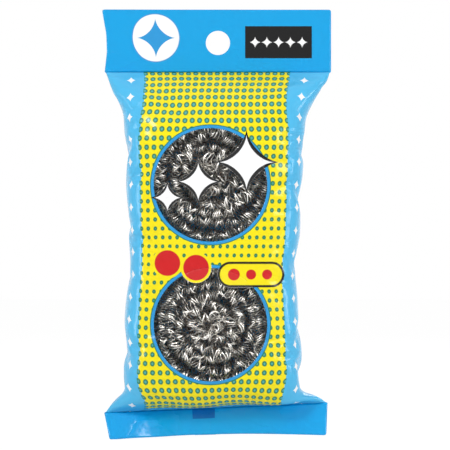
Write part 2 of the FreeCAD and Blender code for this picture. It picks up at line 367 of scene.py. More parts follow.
@dataclass(frozen=True)
class FilmPrint:
    """Colours and layout of the print, in millimetres from the hang hole."""

    # Inks
    header_blue: tuple = srgb(12, 160, 224)
    band_blue: tuple = srgb(78, 186, 234)
    base_blue: tuple = srgb(10, 164, 230)
    mark_blue: tuple = srgb(2, 112, 192)
    ring_blue: tuple = srgb(44, 150, 214)
    dot_blue: tuple = srgb(84, 172, 176)
    yellow: tuple = srgb(246, 228, 12)
    green: tuple = srgb(34, 122, 76)
    white: tuple = srgb(248, 248, 248)
    black: tuple = srgb(5, 5, 6)
    red: tuple = srgb(206, 24, 28)
    # The yellow panel and the line along its top
    panel_left: float = -32.2
    panel_right: float = 31.8
    panel_top: float = -12.9
    panel_bottom: float = -156.8
    top_line: float = 0.35
    # Dots: pitches, start below the panel's top, sizes, growth of their cores, and reach past the panel
    dot_across: float = 3.2
    dot_up: float = 3.48
    dot_start: float = 1.2
    dot_large: float = 1.2
    dot_small: float = 0.78
    core_growth: float = 0.6
    core_small: float = 0.05
    dots_left: float = 0.7
    dots_right: float = 0.3
    # Height at which the dots are smallest, and how far from it they are largest
    middle: float = -93.0
    dot_grade: float = 62.0
    # Windows and their rings
    window_x: float = -3.2
    window_z: tuple = (-62.9, -123.9)
    window_radius: float = 24.75
    ring_width: float = 1.3
    ring_line: float = 0.4
    # Small marks down the sides
    band_mark: float = 38.6
    band_mark_pitch: float = 4.5
    band_mark_size: float = 1.6
    band_mark_power: float = 0.7
    # Base seal: the height that it lies under, and its darker mark
    base_below: float = -100.0
    base_mark_x: tuple = (-10.6, -0.4)
    base_mark_z: tuple = (-166.0, -161.4)
    # Header: pale disc with a sparkle, dark plate with a row of sparkles, and how softly its front ends
    badge: tuple = (-27.6, 2.2)
    badge_radius: float = 10.4
    badge_sparkle: float = 8.8
    badge_rim: float = 0.6
    plate_x: tuple = (12.0, 41.5)
    plate_z: tuple = (-6.8, 7.4)
    row_start: float = 16.4
    row_pitch: float = 5.2
    row_height: float = 0.3
    row_count: int = 5
    row_size: float = 2.5
    thin_rim: float = 0.1
    facing_edge: float = 0.2
    # Back: half width of its paler middle, and width of the fade
    back_middle: float = 34.0
    back_fade: float = 6.0

    def ornaments(self) -> tuple[Ornament, ...]:
        """Plain shapes over the front.

        Returns:
            The shapes, from the lowest layer to the top.
        """
        return (
            Ornament(Motif.SPARKLE, (-22.0, -68.5), 6.0, self.white, self.black, 1.7),
            Ornament(Motif.SPARKLE, (-8.5, -61.5), 8.5, self.white, self.black, 2.0),
            Ornament(Motif.SPARKLE, (12.5, -53.0), 12.0, self.white, self.black, 2.4),
            Ornament(Motif.DISC, (-22.0, -97.0), 5.6, self.red, self.yellow, 1.1),
            Ornament(Motif.DISC, (-9.5, -99.0), 5.6, self.red, self.yellow, 1.1),
            Ornament(Motif.PILL, (14.5, -102.0), 4.6, self.yellow, self.black, 1.0, 9.0),
            Ornament(Motif.DISC, (7.0, -102.0), 2.6, self.red, self.yellow, 0.3),
            Ornament(Motif.DISC, (14.5, -102.0), 2.2, self.red, self.yellow, 0.3),
            Ornament(Motif.DISC, (21.5, -102.0), 2.2, self.red, self.yellow, 0.3),
        )

    def coordinates(self, nodes: Nodes) -> tuple[Socket, Socket]:
        """Print coordinates from the film's own UV map.

        Args:
            nodes: The tree to add to.

        Returns:
            Places across and up, in millimetres.
        """
        uv = nodes.add("UVMap", uv_map="print").outputs[0]
        scaled = nodes.add("VectorMath", {0: uv, "Scale": PRINT_UNIT}, operation="SCALE").outputs[0]
        split = nodes.add("SeparateXYZ", {0: scaled})
        return split.outputs["X"], split.outputs["Y"]

    def front_place(self, nodes: Nodes) -> tuple[Socket, Socket]:
        """Place in millimetres as seen from the front, across and up."""
        place = nodes.add("SeparateXYZ", {0: nodes.add("TexCoord").outputs["Object"]})
        return tuple(nodes.math("MULTIPLY", place.outputs[axis], 1 / MM) for axis in "XZ")

    def overprint(self, nodes: Nodes, colour: object) -> tuple[Socket, Socket]:
        """Lay the ornaments over a colour.

        Args:
            nodes: The tree to add to.
            colour: The colour below.

        Returns:
            The colour with the ornaments, and the mask of all of them.
        """
        x, z = self.front_place(nodes)
        printed = 0.0
        for ornament in self.ornaments():
            colour, mask = ornament.lay(nodes, x, z, colour)
            printed = nodes.math("MAXIMUM", printed, mask)
        return colour, printed

    def front_colour(self, nodes: Nodes) -> Socket:
        """Colour of the front: yellow panel with graded dots, blue sides and window rings.

        Args:
            nodes: The tree to add to.

        Returns:
            The colour.
        """
        across, up = self.coordinates(nodes)
        marks = [
            nodes.math("ABSOLUTE", nodes.math("SUBTRACT", nodes.math("ABSOLUTE", across), self.band_mark)),
            nodes.math("PINGPONG", up, self.band_mark_pitch),
        ]
        spread = nodes.math("ADD", *(nodes.math("POWER", value, self.band_mark_power) for value in marks))
        colour = nodes.mix(nodes.below(spread, self.band_mark_size, SOFT_EDGE), self.band_blue, self.white)
        wide = nodes.within(across, self.panel_left, self.panel_right, FINE_EDGE)
        tall = nodes.within(up, self.panel_bottom, self.panel_top, FINE_EDGE)
        colour = nodes.mix(nodes.math("MULTIPLY", wide, tall), colour, self.yellow)
        colour = self.dots(nodes, across, up, tall, colour)
        line = nodes.within(up, self.panel_top - self.top_line, self.panel_top, FINE_EDGE)
        colour = nodes.mix(nodes.math("MULTIPLY", line, wide), colour, self.green)
        x, z = self.front_place(nodes)
        side = nodes.math("SUBTRACT", x, self.window_x)
        for height in self.window_z:
            distance = nodes.length(side, nodes.math("SUBTRACT", z, height))
            rim = self.window_radius + self.ring_width
            colour = nodes.mix(nodes.below(distance, rim + self.ring_line, RING_EDGE), colour, self.green)
            colour = nodes.mix(nodes.below(distance, rim, RING_EDGE), colour, self.ring_blue)
        return self.overprint(nodes, colour)[0]

    def dots(self, nodes: Nodes, across: object, up: object, tall: object, colour: object) -> Socket:
        """Lay the rows of dots, smaller toward the middle, over a colour.

        Args:
            nodes: The tree to add to.
            across: Print coordinate across.
            up: Print coordinate upward.
            tall: Mask of the panel's height.
            colour: The colour below.

        Returns:
            The colour with the dots.
        """
        cells = []
        pitches = (
            (across, self.panel_left, self.dot_across),
            (up, self.panel_top - self.dot_start, self.dot_up),
        )
        for value, start, pitch in pitches:
            moved = nodes.math("SUBTRACT", value, start)
            cells.append(nodes.math("PINGPONG", moved, pitch / 2))
        away = nodes.length(*cells)
        share = nodes.math("ABSOLUTE", nodes.math("SUBTRACT", up, self.middle))
        share = nodes.math("MULTIPLY", share, 1 / self.dot_grade, clamp=True)
        radius = nodes.math("MULTIPLY_ADD", share, self.dot_large - self.dot_small, self.dot_small)
        core = nodes.math("MULTIPLY_ADD", share, self.core_growth, self.core_small)
        ends = (self.panel_left - self.dots_left, self.panel_right + self.dots_right)
        near = nodes.math("MULTIPLY", nodes.within(across, *ends, FINE_EDGE), tall)
        for limit, soft, ink in ((radius, SOFT_EDGE, self.green), (core, 2 * SOFT_EDGE, self.dot_blue)):
            colour = nodes.mix(nodes.math("MULTIPLY", nodes.below(away, limit, soft), near), colour, ink)
        return colour

    def seal_colour(self, nodes: Nodes) -> Socket:
        """Colour of the flat seals: blue with a pale disc and a dark plate above, a darker mark below.

        Args:
            nodes: The tree to add to.

        Returns:
            The colour.
        """
        across, up = self.coordinates(nodes)
        colour = nodes.mix(nodes.below(up, self.base_below), self.header_blue, self.base_blue)
        normal = nodes.add("SeparateXYZ", {0: nodes.add("TexCoord").outputs["Normal"]}).outputs["Y"]
        front = nodes.below(normal, 0.0, self.facing_edge)
        boxes = (
            (self.base_mark_x, self.base_mark_z, 1.0, self.mark_blue),
            (self.plate_x, self.plate_z, front, self.black),
        )
        for wide, tall, where, ink in boxes:
            box = (nodes.within(across, *wide, PLAIN_EDGE), nodes.within(up, *tall, PLAIN_EDGE))
            mask = nodes.math("MULTIPLY", where, nodes.math("MULTIPLY", *box))
            colour = nodes.mix(mask, colour, ink)
        shapes = [
            Ornament(Motif.DISC, self.badge, self.badge_radius, self.white, self.ring_blue, self.badge_rim),
            Ornament(
                Motif.SPARKLE, self.badge, self.badge_sparkle, self.ring_blue, self.white, self.thin_rim
            ),
        ]
        for step in range(self.row_count):
            centre = (self.row_start + self.row_pitch * step, self.row_height)
            sparkle = Ornament(Motif.SPARKLE, centre, self.row_size, self.white, self.black, self.thin_rim)
            shapes.append(sparkle)
        for shape in shapes:
            colour, _ = shape.lay(nodes, across, up, colour, front)
        return colour

    def back_colour(self, nodes: Nodes) -> Socket:
        """Colour of the back: plain blue with a paler middle.

        Args:
            nodes: The tree to add to.

        Returns:
            The colour.
        """
        across, _ = self.coordinates(nodes)
        middle = nodes.below(nodes.math("ABSOLUTE", across), self.back_middle, self.back_fade)
        return nodes.mix(middle, self.header_blue, self.band_blue)


@dataclass(frozen=True)
class PrintedFilm:
    """Glossy printed film, coloured by one of the print's layouts."""

    name: str
    layout: str
    crinkle_scale: float = 55.0
    crinkle_depth: float = 0.12
    specular: float = 0.32

    def material(self, group: bpy.types.NodeTree, layout: FilmPrint) -> bpy.types.Material:
        """Build the material.

        Args:
            group: The shared crinkle group.
            layout: The print.

        Returns:
            The material.
        """
        material, nodes, output = new_material(self.name)
        roughness, normal = crinkled(nodes, group, self.crinkle_scale, self.crinkle_depth)
        shader = nodes.add(
            "BsdfPrincipled",
            {
                "Base Color": getattr(layout, f"{self.layout}_colour")(nodes),
                "Roughness": roughness,
                "Normal": normal,
                "Specular IOR Level": self.specular,
            },
        )
        nodes.tree.links.new(shader.outputs[0], output.inputs["Surface"])
        return material


@dataclass(frozen=True)
class ClearFilm:
    """Unprinted film of the windows, with the ornaments that run over them."""

    name: str = "clear_film"
    tint: tuple = srgb(250, 250, 250)
    crinkle_scale: float = 40.0
    crinkle_depth: float = 0.2
    edge_blend: float = 0.12
    edge_gloss: float = 0.7
    least_gloss: float = 0.008

    def material(self, group: bpy.types.NodeTree, layout: FilmPrint) -> bpy.types.Material:
        """Build the material.

        Args:
            group: The shared crinkle group.
            layout: The print.

        Returns:
            The material.
        """
        material, nodes, output = new_material(self.name)
        roughness, normal = crinkled(nodes, group, self.crinkle_scale, self.crinkle_depth)
        colour, printed = layout.overprint(nodes, self.tint)
        gloss = nodes.add(
            "BsdfPrincipled",
            {
                "Base Color": colour,
                "Metallic": nodes.math("SUBTRACT", 1.0, printed),
                "Roughness": roughness,
                "Normal": normal,
            },
        )
        facing = nodes.add("LayerWeight", {"Blend": self.edge_blend, "Normal": normal}).outputs["Fresnel"]
        share = nodes.math("MULTIPLY_ADD", facing, self.edge_gloss, self.least_gloss, clamp=True)
        share = nodes.math("MAXIMUM", share, printed)
        clear = nodes.add("BsdfTransparent")
        shader = nodes.add("MixShader", {0: share, 1: clear.outputs[0], 2: gloss.outputs[0]})
        nodes.tree.links.new(shader.outputs[0], output.inputs["Surface"])
        return material


@dataclass(frozen=True)
class CurledSteel:
    """Ribbon of stainless steel, with painted shade on the inner side of its curls and deep in the bun, and
    bright steel toward the outside.
    """

    name: str = "curled_steel"
    # Painted shade: inner is the steel's colour where shade would fall inside a curl or deep in the bun,
    # outer is bright lit steel
    inner: tuple = srgb(98, 84, 71)
    outer: tuple = srgb(255, 252, 246)
    grain: float = 420.0
    least_roughness: float = 0.14
    added_roughness: float = 0.3

    def material(self) -> bpy.types.Material:
        """Build the material.

        Returns:
            The material.
        """
        material, nodes, output = new_material(self.name)
        place = nodes.add("TexCoord").outputs["Object"]
        noise = nodes.add("TexNoise", {"Vector": place, "Scale": self.grain, "Detail": 2.0}).outputs[0]
        # The turned attribute holds painted shade: 0 where the steel would lie in shade, 1 where it is lit
        turned = nodes.add("Attribute", attribute_name="turned").outputs["Fac"]
        colour = nodes.mix(turned, self.inner, self.outer)
        shader = nodes.add(
            "BsdfPrincipled",
            {
                "Base Color": colour,
                "Metallic": 1.0,
                "Roughness": nodes.math("MULTIPLY_ADD", noise, self.added_roughness, self.least_roughness),
            },
        )
        nodes.tree.links.new(shader.outputs[0], output.inputs["Surface"])
        return material


@dataclass(frozen=True)
class Crease:
    """One ridge or dent in the front film, along a line seen from the front, in millimetres."""

    start: tuple[float, float]
    end: tuple[float, float]
    width: float
    height: float

    def lift(self, place: np.ndarray) -> np.ndarray:
        """How far the crease lifts the film.

        Args:
            place: Points of the film in metres.

        Returns:
            The lift outward at each point, in metres.
        """
        start, end = np.array(self.start) * MM, np.array(self.end) * MM
        spot = place[..., [0, 2]]
        way = end - start
        share = unit(((spot - start) @ way) / (way @ way))
        away = np.linalg.norm(spot - start - share[..., None] * way, axis=-1)
        return self.height * MM * np.exp(-((away / (self.width * MM)) ** 2)) * (place[..., 1] < 0)


@dataclass(frozen=True)
class PouchForm:
    """Broad form of the filled pouch in millimetres, as lines from the header seam to the base seam."""

    # Half depth and height down the middle of the film
    middle: tuple = (
        (0.0, -12.8), (3.0, -15.0), (8.4, -20.0), (13.6, -26.0), (17.2, -32.0), (19.4, -38.0), (20.0, -44.0),
        (19.8, -92.0), (20.0, -141.0), (19.3, -148.5), (17.0, -154.2), (12.8, -157.9), (7.6, -159.7),
        (3.2, -160.5), (0.0, -161.1),
    )
    # Places across and heights of the two side folds
    left: tuple = (
        (-50.0, -12.8), (-47.0, -18.4), (-44.2, -23.8), (-42.2, -27.6), (-40.5, -31.2), (-40.1, -36.0),
        (-40.0, -45.0), (-39.2, -65.0), (-38.4, -87.0), (-38.0, -96.0), (-38.9, -106.0), (-40.1, -123.0),
        (-40.4, -142.0), (-39.8, -151.6), (-40.8, -153.8), (-43.4, -155.8), (-46.4, -157.8), (-50.2, -161.1),
    )
    right: tuple = (
        (49.9, -12.8), (47.3, -18.1), (43.2, -22.6), (40.6, -26.5), (38.6, -30.0), (37.4, -34.0),
        (37.2, -44.0), (36.1, -62.0), (35.0, -86.0), (33.7, -97.0), (33.7, -105.0), (34.8, -121.0),
        (36.0, -141.0), (35.2, -151.0), (35.8, -154.6), (37.6, -157.0), (43.8, -158.8), (48.4, -161.1),
    )
    creases: tuple = (
        Crease((-38.0, -32.5), (-30.5, -40.5), 1.3, 0.55),
        Crease((-31.0, -18.5), (-17.0, -31.0), 4.2, -0.9),
        Crease((34.0, -19.4), (27.5, -23.6), 1.3, 0.5),
        Crease((11.5, -61.0), (18.6, -72.0), 1.2, 0.4),
        Crease((-31.0, -104.0), (-24.0, -101.0), 1.4, 0.45),
        Crease((31.0, -128.0), (24.5, -139.0), 1.5, 0.45),
        Crease((-33.0, -150.5), (-20.0, -154.5), 1.8, 0.6),
    )
    # Squareness of a section: 2 would be an ellipse
    fullness: float = 3.5
    least_depth: float = 0.001
    # Share of the half width that keeps the middle line's height
    flat_share: float = 0.58
    seam_tilt: float = 0.045
    heel_start: float = 0.86
    heel_wave: float = 0.6
    heel_period: float = 5.5
    heel_phase: float = 0.8
    # The header's seam, height and half width, how far its left edge is drawn in by height, and its curl
    header_seam: float = -12.8
    header_height: float = 27.5
    half_width: float = 50.0
    header_heights: tuple = (-12.8, -4.0, 4.0, 14.7)
    header_draw: tuple = (0.0, 1.0, 0.7, -1.2)
    curl: float = 1.3
    curl_period: float = 21.0
    curl_phase: float = 0.6
    # The base seal's place and width, its lower edge, how far its ends are drawn in, its lean and its waves
    base_centre: float = -0.9
    base_share: float = 0.986
    base_top: float = -161.1
    base_edge: float = -172.6
    edge_bow: float = -0.0006
    edge_tilt: float = 0.0179
    draw_left: float = 0.05
    draw_right: float = 0.012
    lean: float = 3.4
    lean_slope: float = -0.03
    pucker: float = 1.5
    pucker_centre: float = -20.0
    pucker_reach: float = 17.0
    pucker_period: float = 5.2
    pucker_start: float = -21.0
    base_wave: float = 0.9
    base_period: float = 9.0
    base_phase: float = 0.4
    # Points that a line is drawn with, and how many of them to each side its corners are rounded over
    line_points: int = 2000
    line_reach: int = 30
    oval_points: int = 400

    def along(self, line: tuple, count: int) -> np.ndarray:
        """Points at even lengths along a smooth line.

        Args:
            line: Points of the line before its corners are rounded.
            count: How many points to give.

        Returns:
            The points.
        """
        given = np.array(line)
        run = run_along(given)
        dense = points_at(np.linspace(0.0, run[-1], self.line_points), run, given)
        reach = self.line_reach
        kernel = np.hanning(2 * reach + 1)
        before, after = 2 * dense[0] - dense[reach:0:-1], 2 * dense[-1] - dense[-2 : -reach - 2 : -1]
        padded = np.concatenate([before, dense, after])
        dense = np.stack([np.convolve(axis, kernel / kernel.sum(), "valid") for axis in padded.T], 1)
        length = run_along(dense)
        return points_at(np.linspace(0.0, length[-1], count), length, dense)

    def ring(self, half_width: float, half_depth: float, spots: np.ndarray) -> tuple[np.ndarray, np.ndarray]:
        """Places on a squared oval at shares of its front half's length.

        Args:
            half_width: Half width of the oval.
            half_depth: Half depth of the oval.
            spots: Places on the flat film from -1 at the left fold to 1 at the right fold.

        Returns:
            Place across and depth for each spot.
        """
        turn = np.linspace(0.0, math.pi / 2, self.oval_points)
        across = half_width * np.sin(turn) ** (2 / self.fullness)
        depth = half_depth * np.cos(turn) ** (2 / self.fullness)
        run = run_along(np.stack([across, depth], 1))
        way = np.abs(spots) * run[-1]
        return np.sign(spots) * np.interp(way, run, across), np.interp(way, run, depth)

    def body(self, rows: int, columns: int) -> np.ndarray:
        """Lattice of the filled body.

        Args:
            rows: Rows of cells from seam to seam.
            columns: Columns of cells across the front.

        Returns:
            Points in metres, by row and round the ring from the left fold.
        """
        middle, left, right = (self.along(line, rows + 1) for line in (self.middle, self.left, self.right))
        front = np.linspace(-1.0, 1.0, columns + 1)
        spots = np.concatenate([front, front[-2:0:-1]])
        facing = np.concatenate([-np.ones(columns + 1), np.ones(columns - 1)])
        aside = eased(unit((np.abs(spots) - self.flat_share) / (1.0 - self.flat_share)))
        lattice = np.empty((rows + 1, 2 * columns, 3))
        for row in range(rows + 1):
            half, centre = (right[row, 0] - left[row, 0]) / 2, (right[row, 0] + left[row, 0]) / 2
            across, depth = self.ring(half, max(middle[row, 0], self.least_depth), spots)
            side = np.where(spots < 0, left[row, 1], right[row, 1])
            low = max(0.0, row / rows - self.heel_start) / (1.0 - self.heel_start)
            height = middle[row, 1] * (1 - aside) + side * aside + self.seam_tilt * across * eased(low)
            wave = np.sin(across / self.heel_period + self.heel_phase + facing)
            height += self.heel_wave * 4 * low * (1 - low) * wave
            lattice[row] = np.stack([across + centre, depth * facing, height], 1)
        lattice[[0, -1], :, 1] = 0.0
        return lattice * MM

    def header(self, place: np.ndarray) -> np.ndarray:
        """Header film with its left edge a little drawn in and its face hardly flat.

        Args:
            place: The flat header's points.

        Returns:
            The points of the header in the filled pouch.
        """
        moved = place / MM
        inward = np.interp(moved[:, 2], self.header_heights, self.header_draw)
        rise = unit((moved[:, 2] - self.header_seam) / self.header_height)
        moved[:, 0] += inward * unit(-moved[:, 0] / self.half_width) ** 2
        wave = np.sin(moved[:, 0] / self.curl_period + self.curl_phase)
        moved[:, 1] += self.curl * rise * wave * np.abs(moved[:, 0] / self.half_width)
        return moved * MM

    def base(self, place: np.ndarray, seam: float, height: float) -> np.ndarray:
        """Base seal, tilted and wavy.

        Args:
            place: The flat seal's points.
            seam: Height of its seam.
            height: The seal's height.

        Returns:
            The points of the seal in the filled pouch.
        """
        down = unit((seam - place[:, 2]) / height)
        flat = place[:, 0] / MM
        across = self.base_centre + self.base_share * flat
        top = self.base_top + self.seam_tilt * (across - self.base_centre)
        edge = self.base_edge + self.edge_bow * across**2 + self.edge_tilt * across
        drawn = across * (1 - np.where(across < 0, self.draw_left, self.draw_right) * down)
        near = np.exp(-(((flat - self.pucker_centre) / self.pucker_reach) ** 2))
        wave = self.pucker * np.sin((flat - self.pucker_start) / self.pucker_period) * near
        wave += self.base_wave * np.sin(flat / self.base_period + self.base_phase)
        lean = self.lean + self.lean_slope * flat
        return np.stack([drawn, (wave - lean) * down, top + (edge - top) * down], 1) * MM


# Cloth settings while the film fills: light and stiff, held at its seals and blown up between them
FILLING = {
    "quality": 6,
    "mass": 0.01,
    "tension_stiffness": 60.0,
    "compression_stiffness": 60.0,
    "shear_stiffness": 30.0,
    "bending_model": "ANGULAR",
    "bending_stiffness": 3.0,
    "tension_damping": 15.0,
    "compression_damping": 15.0,
    "shear_damping": 10.0,
    "bending_damping": 2.0,
    "air_damping": 3.0,
    "vertex_group_mass": "held",
    "pin_stiffness": 50.0,
    "use_pressure": True,
    "uniform_pressure_force": 15.0,
    "use_pressure_volume": True,
    "pressure_factor": 1.0,
    "vertex_group_pressure": "blown",
}


@dataclass
class FilmSleeve:
    """The folded film: drawn flat, filled by simulation, then parted into its printed regions."""

    # Flat film: width, heights of the seals, height of the header seam, and the body's length filled and flat
    width: float = 0.100
    header: float = 0.0275
    base: float = 0.0125
    seam: float = -0.0128
    filled: float = 0.1483
    flat: float = 0.1675
    # Cells of the flat mesh, and how far its two films start apart
    columns: int = 60
    header_rows: int = 16
    body_rows: int = 100
    base_rows: int = 8
    loose: float = 0.0015
    # First dents: depth, where they start across, fade at the seams, and length and phase of each wave
    dent: float = 0.00025
    dent_start: float = 0.55
    dent_fade: float = 0.02
    dent_waves: tuple = ((0.047, 0.7), (0.0291, 2.1), (0.0187, 1.3))
    dent_second: float = 0.6
    dent_twist: float = 0.5
    # The filling: its scale, the frame that the base seal has moved up by, the last frame and the volume
    scale: float = 10.0
    settle: int = 25
    frames: int = 42
    volume: float = 3.2e-4
    # The fin, the hang hole and the film's thickness
    fin_width: float = 0.0104
    fin_lift: float = 0.0006
    hole_radius: float = 0.00535
    gauge: float = 0.00012
    sealed_layers: int = 3
    # Creases carried over: reach in cells, gain, fade at the seams and limits outward, aside and inward
    crease_cells: int = 4
    crease_gain: float = 0.7
    crease_fade: float = 0.012
    crease_out: float = 0.0022
    crease_aside: float = 0.0025
    crease_in: float = 0.0008
    crease_in_sides: float = 0.0012
    sides_start: float = 0.5
    sides_reach: float = 0.4
    # A round cut has this many straight sides and looks for faces this near to its rim
    round_sides: int = 72
    rim_reach: float = 0.005
    uv_slack: float = 1e-4
    pieces: dict = field(default_factory=dict)

    @property
    def base_seam(self) -> float:
        """Height of the base seam on the flat film."""
        return self.seam - self.flat

    @property
    def slack(self) -> float:
        """Length that the film draws up by when filled."""
        return self.flat - self.filled

    def row_height(self, row: int) -> float:
        """Height of one row of the flat film.

        Args:
            row: Row number from the header's top.

        Returns:
            The height in metres.
        """
        if row <= self.header_rows:
            return self.seam + self.header * (1 - row / self.header_rows)
        row -= self.header_rows
        if row <= self.body_rows:
            return self.seam - self.flat * row / self.body_rows
        return self.base_seam - self.base * (row - self.body_rows) / self.base_rows

    def row_print(self, height: float) -> float:
        """Height in the print of a height on the flat film.

        Args:
            height: Height on the flat film.

        Returns:
            Height in the print, in metres.
        """
        if height >= self.seam:
            return height
        if height >= self.base_seam:
            return self.seam + (height - self.seam) * self.filled / self.flat
        return height + self.slack

    def in_body(self, vert: bmesh.types.BMVert) -> bool:
        """Whether a vertex of the flat film lies between the seams."""
        return self.base_seam - EPSILON < vert.co.z < self.seam + EPSILON

    def bulge(self, vert: bmesh.types.BMVert) -> float:
        """How far the front and back films start apart from the middle plane.

        Args:
            vert: A vertex of the flat film.

        Returns:
            The distance to either side.
        """
        across = max(0.0, 1 - (2 * vert.co.x / self.width) ** 2)
        along = (self.seam - vert.co.z) * (vert.co.z - self.base_seam) / (self.flat / 2) ** 2
        return self.loose * math.sqrt(across * max(0.0, along))

    def flat_mesh(self) -> bpy.types.Mesh:
        """Draw the flat film: header, front and base in one sheet, and the back joined at its edges.

        Returns:
            The mesh.
        """
        bm = bmesh.new()
        rows = self.header_rows + self.body_rows + self.base_rows
        bmesh.ops.create_grid(bm, x_segments=self.columns, y_segments=rows, size=0.5)
        for vert in bm.verts:
            row = round((0.5 - vert.co.y) * rows)
            vert.co = Vector((vert.co.x * self.width, 0.0, self.row_height(row)))
        uv = bm.loops.layers.uv.new("print")
        for face in bm.faces:
            height = face.calc_center_median().z
            region = Region.HEADER if height > self.seam else Region.FRONT
            face.material_index = (region if height > self.base_seam else Region.BASE).value
            for loop in face.loops:
                place = (loop.vert.co.x, self.row_print(loop.vert.co.z))
                loop[uv].uv = Vector(place) / MM / PRINT_UNIT
        front = [v for v in bm.verts if self.in_body(v)]
        edges = [e for e in bm.edges if all(self.in_body(v) for v in e.verts)]
        faces = [f for f in bm.faces if f.material_index == Region.FRONT.value]
        copied = bmesh.ops.duplicate(bm, geom=front + edges + faces)["geom"]
        back = [g for g in copied if isinstance(g, bmesh.types.BMVert)]
        back_faces = [g for g in copied if isinstance(g, bmesh.types.BMFace)]
        bmesh.ops.reverse_faces(bm, faces=back_faces)
        for face in back_faces:
            left = face.calc_center_median().x < 0
            face.material_index = (Region.BACK_LEFT if left else Region.BACK_RIGHT).value
        seams = [v for v in front + back if self.bulge(v) < EPSILON]
        for side, verts in ((-1.0, front), (1.0, back)):
            for vert in verts:
                vert.co.y = side * self.bulge(vert)
        for vert in seams:
            vert.co.y = 0.0
        bmesh.ops.remove_doubles(bm, verts=seams, dist=EPSILON)
        return mesh_from("film_sleeve", bm)

    def key_film(self, film: bpy.types.Object) -> None:
        """Scale the film up, give it small dents and key the base seal's way up.

        Args:
            film: The flat film.
        """
        flat = self.points(film.data)
        across, depth, up = flat.T
        side = unit((np.abs(across) / (self.width / 2) - self.dent_start) / (1.0 - self.dent_start))
        side *= unit((self.seam - up) / self.dent_fade) * unit((up - self.base_seam) / self.dent_fade)
        hand = np.sign(across)
        first, second, third = (up * math.tau / length + phase * hand for length, phase in self.dent_waves)
        wave = np.sin(first) + self.dent_second * np.sin(second + self.dent_twist * np.sign(depth))
        start = flat.copy()
        start[:, 0] += self.dent * side * wave * hand
        start[:, 1] += self.dent * side * np.sin(third)
        sealed = up < self.base_seam + EPSILON
        end = start.copy()
        end[sealed, 2] += self.slack
        film.data.vertices.foreach_set("co", (start * self.scale).ravel())
        film.shape_key_add(name="flat")
        key = film.shape_key_add(name="filled")
        key.data.foreach_set("co", (end * self.scale).ravel())
        for moment, value in ((1, 0.0), (self.settle, 1.0)):
            key.value = value
            key.keyframe_insert("value", frame=moment)
        held = np.where((up > self.seam - EPSILON) | sealed)[0]
        blown = np.where((up < self.seam + EPSILON) & (up > self.base_seam - EPSILON))[0]
        for name, members in (("held", held), ("blown", blown)):
            film.vertex_groups.new(name=name).add([int(i) for i in members], 1.0, "REPLACE")

    def fill(self) -> tuple[bpy.types.Mesh, np.ndarray]:
        """Simulate the filling of the pouch.

        Returns:
            The settled film, and the places of its points on the flat film.
        """
        film = link_object("film_sleeve", self.flat_mesh())
        flat = self.points(film.data)
        self.key_film(film)
        cloth = film.modifiers.new("fill", "CLOTH")
        for name, value in FILLING.items():
            setattr(cloth.settings, name, value)
        cloth.settings.target_volume = self.volume * self.scale**3
        cloth.settings.effector_weights.gravity = 0.0
        cloth.collision_settings.use_collision = False
        cloth.collision_settings.use_self_collision = False
        cloth.point_cache.frame_start = 1
        cloth.point_cache.frame_end = self.frames
        for moment in range(1, self.frames + 1):
            bpy.context.scene.frame_set(moment)
        settled = settled_mesh(film)
        settled.transform(Matrix.Scale(1 / self.scale, 4))
        bpy.context.scene.frame_set(1)
        return settled, flat

    def points(self, mesh: bpy.types.Mesh) -> np.ndarray:
        """Vertex places of a mesh.

        Args:
            mesh: The mesh.

        Returns:
            One row for each vertex.
        """
        flat = np.empty(len(mesh.vertices) * 3)
        mesh.vertices.foreach_get("co", flat)
        return flat.reshape(-1, 3)

    def lattice(self, flat: np.ndarray) -> np.ndarray:
        """Vertex numbers of the body in order.

        Args:
            flat: Places on the flat film.

        Returns:
            The numbers, by row and round the ring from the left fold.
        """
        around = 2 * self.columns
        row = np.rint((self.seam - flat[:, 2]) / self.flat * self.body_rows).astype(int)
        column = np.rint((flat[:, 0] / self.width + 0.5) * self.columns).astype(int)
        ring = np.where(flat[:, 1] > EPSILON, around - column, column) % around
        inside = np.where((row >= 0) & (row <= self.body_rows))[0]
        numbers = np.zeros((self.body_rows + 1, around), int)
        numbers[row[inside], ring[inside]] = inside
        back = np.arange(self.columns + 1, around)
        for end in (0, self.body_rows):
            numbers[end, back] = numbers[end, around - back]
        return numbers

    def soften(self, grid: np.ndarray) -> np.ndarray:
        """Broad form of a lattice, without its creases.

        Args:
            grid: The lattice.

        Returns:
            The softened lattice.
        """
        reach = 3 * self.crease_cells
        kernel = np.exp(-0.5 * (np.arange(-reach, reach + 1) / self.crease_cells) ** 2)
        kernel /= kernel.sum()
        before, after = 2 * grid[:1] - grid[reach:0:-1], 2 * grid[-1:] - grid[-2 : -reach - 2 : -1]
        padded = np.concatenate([before, grid, after])
        padded = np.concatenate([padded[:, -reach:], padded, padded[:, :reach]], 1)
        rows = sum(w * padded[i : i + len(grid)] for i, w in enumerate(kernel))
        return sum(w * rows[:, i : i + grid.shape[1]] for i, w in enumerate(kernel))

    def frames_of(self, grid: np.ndarray) -> list[np.ndarray]:
        """Directions of a film lattice at each of its points.

        Args:
            grid: The lattice.

        Returns:
            Unit vectors down, outward and round.
        """
        down = np.gradient(grid, axis=0)
        around = (np.roll(grid, -1, 1) - np.roll(grid, 1, 1)) / 2
        outward = np.cross(down, around)
        around = np.cross(outward, down)
        found = []
        for way in (down, outward, around):
            found.append(way / np.maximum(np.linalg.norm(way, axis=2), TINY)[..., None])
        return found

